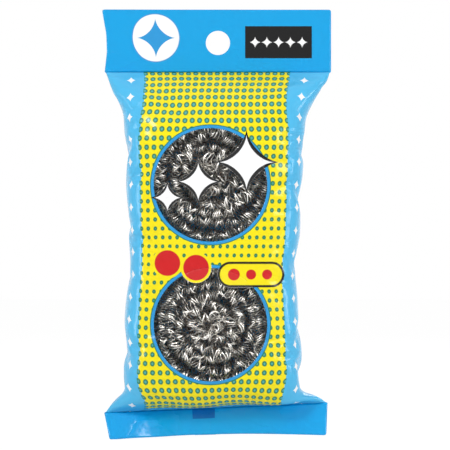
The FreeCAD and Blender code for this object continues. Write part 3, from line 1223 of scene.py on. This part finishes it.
    def shape_film(self, settled: bpy.types.Mesh, flat: np.ndarray) -> None:
        """Carry the simulated creases over to the pouch's measured form, seals included.

        Args:
            settled: The settled film, which is changed.
            flat: Places of its points on the flat film.
        """
        form = PouchForm()
        place = self.points(settled)
        numbers = self.lattice(flat)
        grid = place[numbers]
        broad = self.soften(grid)
        target = form.body(self.body_rows, self.columns)
        row = np.arange(self.body_rows + 1) * self.flat / self.body_rows
        fade = unit(np.minimum(row, self.flat - row) / self.crease_fade)[:, None]
        spots = np.abs(flat[numbers, 0]) / (self.width / 2)
        aside = unit((spots - self.sides_start) / self.sides_reach)
        inward = self.crease_in + self.crease_in_sides * aside
        ways = self.frames_of(target)
        shaped = target.copy()
        for index, (source, goal) in enumerate(zip(self.frames_of(broad), ways)):
            amount = ((grid - broad) * source).sum(2)
            limit = np.where(amount < 0, inward, self.crease_out) if index == 1 else self.crease_aside
            amount = limit * np.tanh(self.crease_gain * amount / limit)
            shaped += goal * (amount * fade)[..., None]
        for crease in form.creases:
            shaped += ways[1] * (crease.lift(target) * fade)[..., None]
        place[numbers.ravel()] = shaped.reshape(-1, 3)
        above = flat[:, 2] > self.seam + EPSILON
        below = flat[:, 2] < self.base_seam - EPSILON
        place[above] = form.header(flat[above])
        place[below] = form.base(flat[below], self.base_seam, self.base)
        settled.vertices.foreach_set("co", place.ravel())
        settled.update()

    def smooth_film(self, settled: bpy.types.Mesh) -> bmesh.types.BMesh:
        """Subdivide the settled film once.

        Args:
            settled: The settled film.

        Returns:
            The finer film.
        """
        film = link_object("film_settled", settled)
        finer = film.modifiers.new("finer", "SUBSURF")
        finer.levels = finer.render_levels = 1
        bm = bmesh.new()
        bm.from_mesh(settled_mesh(film))
        return bm

    def cut_round(
        self, bm: bmesh.types.BMesh, region: Region, centre: tuple[float, float], radius: float
    ) -> list[bmesh.types.BMFace]:
        """Cut a round outline through the film, as seen from the front.

        Args:
            bm: The film.
            region: The region to cut.
            centre: The circle's centre, across and up.
            radius: The circle's radius.

        Returns:
            The faces inside the circle.
        """
        middle = Vector((centre[0], 0.0, centre[1]))
        half_turn = math.pi / self.round_sides

        def reach(face: bmesh.types.BMFace) -> float:
            """Distance of a face from the circle's axis."""
            away = face.calc_center_median() - middle
            return math.hypot(away.x, away.z)

        faces = [f for f in bm.faces if f.material_index == region.value]
        rim = [f for f in faces if abs(reach(f) - radius) < self.rim_reach]
        for step in range(self.round_sides):
            angle = 2 * half_turn * step
            outward = Vector((math.cos(angle), 0.0, math.sin(angle)))
            sideways = Vector((-outward.z, 0.0, outward.x))
            edge_point = middle + outward * radius
            half_chord = radius * math.tan(half_turn) + EPSILON
            near = []
            for face in rim:
                offsets = [v.co - edge_point for v in face.verts]
                along = [o.dot(sideways) for o in offsets]
                out = [o.dot(outward) for o in offsets]
                crosses = min(out) < -CUT_EPSILON and max(out) > CUT_EPSILON
                if crosses and min(along) < half_chord and max(along) > -half_chord:
                    near.append(face)
            edges = list(dict.fromkeys(edge for face in near for edge in face.edges))
            verts = list(dict.fromkeys(vert for face in near for vert in face.verts))
            cut = bmesh.ops.bisect_plane(
                bm, geom=verts + edges + near, dist=CUT_EPSILON, plane_co=edge_point, plane_no=outward
            )
            rim = list(dict.fromkeys(rim + [g for g in cut["geom"] if isinstance(g, bmesh.types.BMFace)]))
        limit = radius * math.cos(half_turn)
        return [f for f in bm.faces if f.material_index == region.value and reach(f) < limit]

    def part_off(self, name: str, bm: bmesh.types.BMesh, faces: list[bmesh.types.BMFace]) -> bpy.types.Object:
        """Copy some faces of the film to a piece of their own.

        Args:
            name: The piece's name.
            bm: The film.
            faces: The faces to copy.

        Returns:
            The piece.
        """
        keep = {f.index for f in faces}
        copy = bm.copy()
        copy.faces.ensure_lookup_table()
        others = [f for f in copy.faces if f.index not in keep]
        bmesh.ops.delete(copy, geom=others, context="FACES")
        for face in copy.faces:
            face.material_index = 0
        piece = link_object(name, mesh_from(name, copy))
        self.pieces[name] = piece
        return piece

    def thicken(self, piece: bpy.types.Object, gauge: float, offset: float) -> None:
        """Give a film piece its thickness.

        Args:
            piece: The piece.
            gauge: The thickness.
            offset: Side that it grows to: -1 is inward, 0 is both ways.
        """
        solid = piece.modifiers.new("gauge", "SOLIDIFY")
        solid.thickness = gauge
        solid.offset = offset
        solid.use_rim = True

    def build(self) -> None:
        """Fill the pouch and part it into its pieces."""
        settled, flat = self.fill()
        self.shape_film(settled, flat)
        bm = self.smooth_film(settled)
        layout = FilmPrint()
        for region, height in zip((Region.WINDOW_UPPER, Region.WINDOW_LOWER), layout.window_z):
            centre = (layout.window_x * MM, height * MM)
            for face in self.cut_round(bm, Region.FRONT, centre, layout.window_radius * MM):
                face.material_index = region.value
        hole = self.cut_round(bm, Region.HEADER, (0.0, 0.0), self.hole_radius)
        bmesh.ops.delete(bm, geom=hole, context="FACES")
        bm.faces.index_update()
        names = {
            Region.FRONT: "film_front",
            Region.BACK_LEFT: "film_back_left",
            Region.BACK_RIGHT: "film_back_right",
            Region.HEADER: "film_header",
            Region.BASE: "film_base",
            Region.WINDOW_UPPER: "film_window_upper",
            Region.WINDOW_LOWER: "film_window_lower",
        }
        for region, name in names.items():
            self.part_off(name, bm, [f for f in bm.faces if f.material_index == region.value])
        self.build_fin(bm)
        bm.free()
        for name, piece in self.pieces.items():
            sealed = name in ("film_header", "film_base")
            self.thicken(piece, self.gauge * (self.sealed_layers if sealed else 1), 0.0 if sealed else -1.0)

    def build_fin(self, bm: bmesh.types.BMesh) -> None:
        """Lift the folded fin off the middle of the back, from the header's top to the base edge.

        Args:
            bm: The film.
        """
        uv = bm.loops.layers.uv["print"]
        back = (Region.HEADER.value, Region.BACK_LEFT.value, Region.BASE.value)
        limit = self.fin_width / MM / PRINT_UNIT
        strip = []
        for face in bm.faces:
            if face.material_index in back:
                spots = [loop[uv].uv.x for loop in face.loops]
                if min(spots) > -limit - self.uv_slack and max(spots) < self.uv_slack:
                    strip.append(face)
        fin = self.part_off("film_fin", bm, strip)
        shape = bmesh.new()
        shape.from_mesh(fin.data)
        turned = [f for f in shape.faces if f.normal.y < 0]
        bmesh.ops.reverse_faces(shape, faces=turned)
        shape.normal_update()
        lifted = [(v, v.normal.copy()) for v in shape.verts]
        for vert, normal in lifted:
            vert.co += normal * self.fin_lift
        shape.to_mesh(fin.data)
        shape.free()

    def dress(self) -> None:
        """Give the film pieces their finishes and bodies, and hide the CAD parts that they stand for."""
        group = crinkle_group()
        layout = FilmPrint()
        front = PrintedFilm("printed_front", "front").material(group, layout)
        seal_film = PrintedFilm("printed_seal", "seal", crinkle_scale=60.0, crinkle_depth=0.22)
        seal = seal_film.material(group, layout)
        back = PrintedFilm("printed_back", "back").material(group, layout)
        clear = ClearFilm().material(group, layout)
        table = (
            ("film_front", "front_panel", "printed_front", front),
            ("film_window_upper", "window_upper", "clear_film", clear),
            ("film_window_lower", "window_lower", "clear_film", clear),
            ("film_back_left", "back_panel_left", "printed_back", back),
            ("film_back_right", "back_panel_right", "printed_back", back),
            ("film_fin", "back_fin", "printed_back", back),
            ("film_header", "header_seal", "printed_seal", seal),
            ("film_base", "base_seal", "printed_seal", seal),
        )
        for name, node, slot, material in table:
            piece = self.pieces[name]
            piece.data.materials.clear()
            piece.data.materials.append(material)
            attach(piece, Body.POUCH.value)
            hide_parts(node)
            LOG.info("%s stands for %s", name, node)


@dataclass
class Scourer:
    """Bun of curled steel ribbon: a rope of curls wound out and in through four layers."""

    name: str
    node: str
    body: Body
    height: float
    seed: int
    ribbon_seed: int = 7
    # The bun's place across and its size
    shift: float = -0.0019
    radius: float = 0.0315
    half_depth: float = 0.0179
    # The rope's radius, the open eye and the turns in a layer, then the curls and the ribbon they are made of
    rope: float = 0.0021
    eye: float = 0.0012
    turns: float = 6.0
    curl_pitch: float = 0.00105
    curl_points: int = 11
    ribbon: float = 0.00022
    ribbon_edge: float = 0.00003
    parts: int = 2
    # Half depth of the bun: roundness of its edge and the reach at which it would come to nothing
    edge_power: int = 6
    edge_extra: float = 0.0005
    edge_limit: float = 0.999
    # Layers of the rope by share of the half depth, and points along each
    layers: tuple = (-1.0, -0.33, 0.33, 1.0)
    layer_points: int = 1400
    # Clearances of the rope, and the share of its radius that its depth is read further out by
    rope_share: float = 0.4
    eye_extra: float = 0.0005
    rim_clear: float = 0.0003
    face_clear: float = 0.0004
    least_room: float = 0.0008
    # Sizes and rates of the rope's sway across and of its wander in depth, and how far it is tucked in
    sway: tuple = ((0.0009, 2.4), (0.0005, 5.7))
    wander: tuple = ((0.2, 2.3), (0.14, 5.1))
    tuck: float = 0.2
    wander_gain: float = 0.5
    # How the curls differ: size, turn in radians and lean
    curl_sizes: tuple = (0.5, 0.75, 0.95, 1.1, 1.35)
    curl_turn: float = 1.3
    curl_lean: float = 0.0021
    # How fast the painted shade on the steel gives way to bright steel toward the outside of a curl and of
    # the bun
    curl_bright: float = 2.9
    curl_dark: float = 0.15
    bun_bright: float = 2.2
    bun_dark: float = 0.1

    def depth_at(self, reach: np.ndarray) -> np.ndarray:
        """Half depth of the bun at some distance from its axis."""
        share = np.clip(reach / (self.radius + self.edge_extra), 0, self.edge_limit)
        return self.half_depth * np.sqrt(1 - share**self.edge_power)

    def rope_line(self) -> np.ndarray:
        """Centre line of the rope of curls.

        Returns:
            Points dense enough to wind the ribbon on.
        """
        chance = np.random.default_rng(self.seed)
        inner, outer = self.eye + self.eye_extra, self.radius - self.rope - self.rim_clear
        line = []
        start = chance.uniform(0, math.tau)
        share = np.linspace(0, 1, self.layer_points, endpoint=False)
        for index, layer in enumerate(self.layers):
            reach = inner + (outer - inner) * (share if index % 2 == 0 else 1 - share)
            angle = start + math.tau * self.turns * share
            start = angle[-1]
            phases = chance.uniform(0, math.tau, 4)
            for (size, rate), phase in zip(self.sway, phases[:2]):
                reach = reach + size * np.sin(rate * angle + phase)
            reach = np.clip(reach, inner, outer)
            room = self.depth_at(reach + self.rope_share * self.rope) - self.rope - self.face_clear
            room = np.maximum(room, self.least_room)
            waves = zip(self.wander, phases[2:])
            drift = sum(size * np.sin(rate * angle + phase) for (size, rate), phase in waves)
            drift = (drift - math.copysign(self.tuck, layer)) * self.wander_gain
            depth = room * np.clip(layer + drift, -1, 1)
            line.append(np.stack([reach * np.cos(angle), depth, reach * np.sin(angle)], 1))
        return np.concatenate(line)

    def ribbon_line(self) -> tuple[np.ndarray, np.ndarray]:
        """Curl the ribbon round the rope's centre line.

        Returns:
            The ribbon's points, and for each a painted shade from 0, dark on the inner side of its curl and
            deep in the bun, to 1, bright where it is turned to the outside.
        """
        chance = np.random.default_rng(self.seed + self.ribbon_seed)
        line = self.rope_line()
        run = run_along(line)
        curls = int(run[-1] / self.curl_pitch)
        count = curls * self.curl_points
        along = np.linspace(0, run[-1], count)
        centre = points_at(along, run, line)
        way = np.gradient(centre, axis=0)
        way /= np.linalg.norm(way, axis=1)[:, None]
        front = np.array([0.0, 1.0, 0.0])
        side = np.cross(way, front)
        side /= np.maximum(np.linalg.norm(side, axis=1), TINY)[:, None]
        rise = np.cross(side, way)
        knots = np.linspace(0, run[-1], curls)
        size = np.interp(along, knots, chance.choice(self.curl_sizes, len(knots)))
        shift = np.interp(along, knots, chance.uniform(-self.curl_turn, self.curl_turn, len(knots)))
        turn = math.tau * np.arange(count) / self.curl_points + shift
        reach = self.rope * size
        lean = np.interp(along, knots, chance.uniform(-self.curl_lean, self.curl_lean, len(knots)))
        ribbon = centre + side * (reach * np.cos(turn))[:, None] + rise * (reach * np.sin(turn))[:, None]
        ribbon += way * (lean * np.cos(turn))[:, None]
        # Painted shade: steel on the inner side of each curl and deep inside the bun is darkened where shade
        # would fall
        outside = centre / np.array((self.radius, self.half_depth, self.radius)) ** 2
        outside /= np.linalg.norm(outside, axis=1)[:, None]
        turned = 0.5 + 0.5 * ((ribbon - centre) * outside).sum(1) / self.rope
        deep = unit(np.abs(centre[:, 1]) / self.depth_at(np.hypot(centre[:, 0], centre[:, 2])))
        turned = unit(self.curl_bright * turned - self.curl_dark)
        turned *= unit(self.bun_bright * deep - self.bun_dark)
        return ribbon + (self.shift, 0.0, self.height), turned

    def build(self) -> list[bpy.types.Object]:
        """Sweep the flat ribbon along its curls, as a few pieces of one strand that carry its painted shade
        as an attribute.

        Returns:
            The pieces.
        """
        points, turned = self.ribbon_line()
        pieces = []
        shares = zip(np.array_split(points, self.parts), np.array_split(turned, self.parts))
        for part, (share, painted_shade) in enumerate(shares):
            curve = bpy.data.curves.new(f"{self.name}_{part}", "CURVE")
            curve.dimensions = "3D"
            curve.twist_mode = "MINIMUM"
            curve.extrude = self.ribbon
            curve.bevel_depth = self.ribbon_edge
            curve.bevel_resolution = 0
            curve.use_fill_caps = True
            spline = curve.splines.new("POLY")
            spline.points.add(len(share) - 1)
            spline.points.foreach_set("co", np.c_[share, np.ones(len(share))].astype(np.float32).ravel())
            mesh = settled_mesh(link_object(curve.name, curve))
            mesh.shade_smooth()
            tree = KDTree(len(share))
            for index, point in enumerate(share):
                tree.insert(point, index)
            tree.balance()
            # Each vertex takes the painted shade of its nearest ribbon point
            values = [painted_shade[tree.find(vertex.co)[1]] for vertex in mesh.vertices]
            mesh.attributes.new("turned", "FLOAT", "POINT").data.foreach_set("value", values)
            pieces.append(link_object(f"{self.name}_{part}", mesh))
        return pieces

    def dress(self, pieces: list[bpy.types.Object], steel: bpy.types.Material) -> None:
        """Give the strand its steel and body, and hide the CAD part that it stands for.

        Args:
            pieces: The strand's pieces.
            steel: Their material.
        """
        for piece in pieces:
            piece.data.materials.clear()
            piece.data.materials.append(steel)
            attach(piece, self.body.value)
            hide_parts(self.node)
            LOG.info("%s has %d faces", piece.name, len(piece.data.polygons))


@dataclass
class Studio:
    """Pale floor, soft lamps and the camera at the photograph's view."""

    target: tuple = (0.00313, 0.0, -0.0804)
    frame_width: float = 0.1987
    distance: float = 1.6
    floor_height: float = -0.1748
    floor_half: float = 3.0
    floor_grey: tuple = (0.92, 0.92, 0.92, 1.0)
    sensor: float = 36.0
    far_clip: float = 20.0
    # Strength and share of the floor's white where it is seen, and the world's plain light
    floor_white: float = 1.07
    floor_share: float = 0.9
    plain_light: float = 0.3
    # Name, place, width, height and power in watts of each lamp
    lamps: tuple = (
        ("key", (-0.55, -0.75, 0.45), 0.26, 0.26, 4.4),
        ("fill", (0.7, -0.7, 0.15), 0.3, 0.3, 2.7),
        ("top", (0.05, -0.15, 0.8), 1.0, 1.0, 1.8),
        ("low", (0.15, -0.9, -0.5), 0.5, 0.5, 2.8),
        ("back", (0.5, 0.9, 0.5), 0.5, 0.5, 3.0),
        ("left_strip", (-0.8, -0.2, -0.09), 0.09, 0.34, 1.2),
        ("right_strip", (0.8, -0.2, -0.09), 0.09, 0.34, 1.2),
    )

    def build(self) -> None:
        """Set up floor, world, lamps and camera."""
        self.floor()
        self.world()
        for row in self.lamps:
            self.lamp(*row)
        self.camera()

    def seen(self, nodes: Nodes, joined: str) -> Socket:
        """Mask of the rays that show the background: from the camera, off gloss and through film.

        Args:
            nodes: The tree to add to.
            joined: The operation that joins the kinds of ray.

        Returns:
            The mask.
        """
        path = nodes.add("LightPath")
        seen = nodes.math(joined, path.outputs["Is Camera Ray"], path.outputs["Is Glossy Ray"])
        return nodes.math(joined, seen, path.outputs["Is Transmission Ray"])

    def floor(self) -> None:
        """Pale floor that keeps a faint shadow."""
        bm = bmesh.new()
        bmesh.ops.create_grid(bm, x_segments=2, y_segments=2, size=self.floor_half)
        bmesh.ops.translate(bm, verts=bm.verts, vec=(0.0, 0.0, self.floor_height))
        floor = link_object("floor", mesh_from("floor", bm))
        material, nodes, output = new_material("pale_floor")
        shade = nodes.add("BsdfDiffuse", {"Color": self.floor_grey})
        white = nodes.add("Emission", {"Color": WHITE, "Strength": self.floor_white})
        share = nodes.math("MULTIPLY", self.seen(nodes, "ADD"), self.floor_share, clamp=True)
        mix = nodes.add("MixShader", {0: share, 1: shade.outputs[0], 2: white.outputs[0]})
        nodes.tree.links.new(mix.outputs[0], output.inputs["Surface"])
        floor.data.materials.append(material)

    def world(self) -> None:
        """White behind everything, a plain level of light on the object."""
        world = bpy.data.worlds.new("studio")
        bpy.context.scene.world = world
        world.use_nodes = True
        world.node_tree.nodes.clear()
        nodes = Nodes(world.node_tree)
        seen = self.seen(nodes, "MAXIMUM")
        strength = nodes.math("MULTIPLY_ADD", seen, 1.0 - self.plain_light, self.plain_light)
        back = nodes.add("Background", {"Color": WHITE, "Strength": strength})
        output = nodes.add("OutputWorld", {"Surface": back.outputs[0]})
        output.is_active_output = True

    def lamp(self, name: str, place: tuple, width: float, height: float, power: float) -> None:
        """Soft lamp that looks at the pack's middle.

        Args:
            name: The lamp's name.
            place: Where it stands.
            width: Its width.
            height: Its height.
            power: Its power in watts.
        """
        light = bpy.data.lights.new(name, "AREA")
        light.shape = "RECTANGLE"
        light.size = width
        light.size_y = height
        light.energy = power
        lamp = link_object(name, light)
        lamp.location = place
        way = Vector(self.target) - Vector(place)
        lamp.rotation_euler = way.to_track_quat("-Z", "Y").to_euler()

    def camera(self) -> None:
        """Long lens square to the front."""
        data = bpy.data.cameras.new("camera")
        data.sensor_fit = "HORIZONTAL"
        data.sensor_width = self.sensor
        data.lens = self.sensor * self.distance / self.frame_width
        data.clip_end = self.far_clip
        camera = link_object("camera", data)
        camera.location = Vector(self.target) + Vector((0.0, -self.distance, 0.0))
        camera.rotation_euler = (math.radians(90), 0.0, 0.0)
        bpy.context.scene.camera = camera


def main() -> None:
    """Build the film, the scourers and the studio, and note the sizes."""
    logging.basicConfig(level=logging.INFO, format="%(message)s")
    bpy.context.scene.view_settings.view_transform = "Standard"
    sleeve = FilmSleeve()
    sleeve.build()
    sleeve.dress()
    steel = CurledSteel().material()
    scourers = (
        Scourer("curls_upper", "scourer_upper", Body.UPPER, height=-0.0575, seed=11),
        Scourer("curls_lower", "scourer_lower", Body.LOWER, height=-0.1241, seed=23),
    )
    for scourer in scourers:
        scourer.dress(scourer.build(), steel)
    Studio().build()
    bpy.context.view_layer.update()


if __name__ == "__main__":
    main()
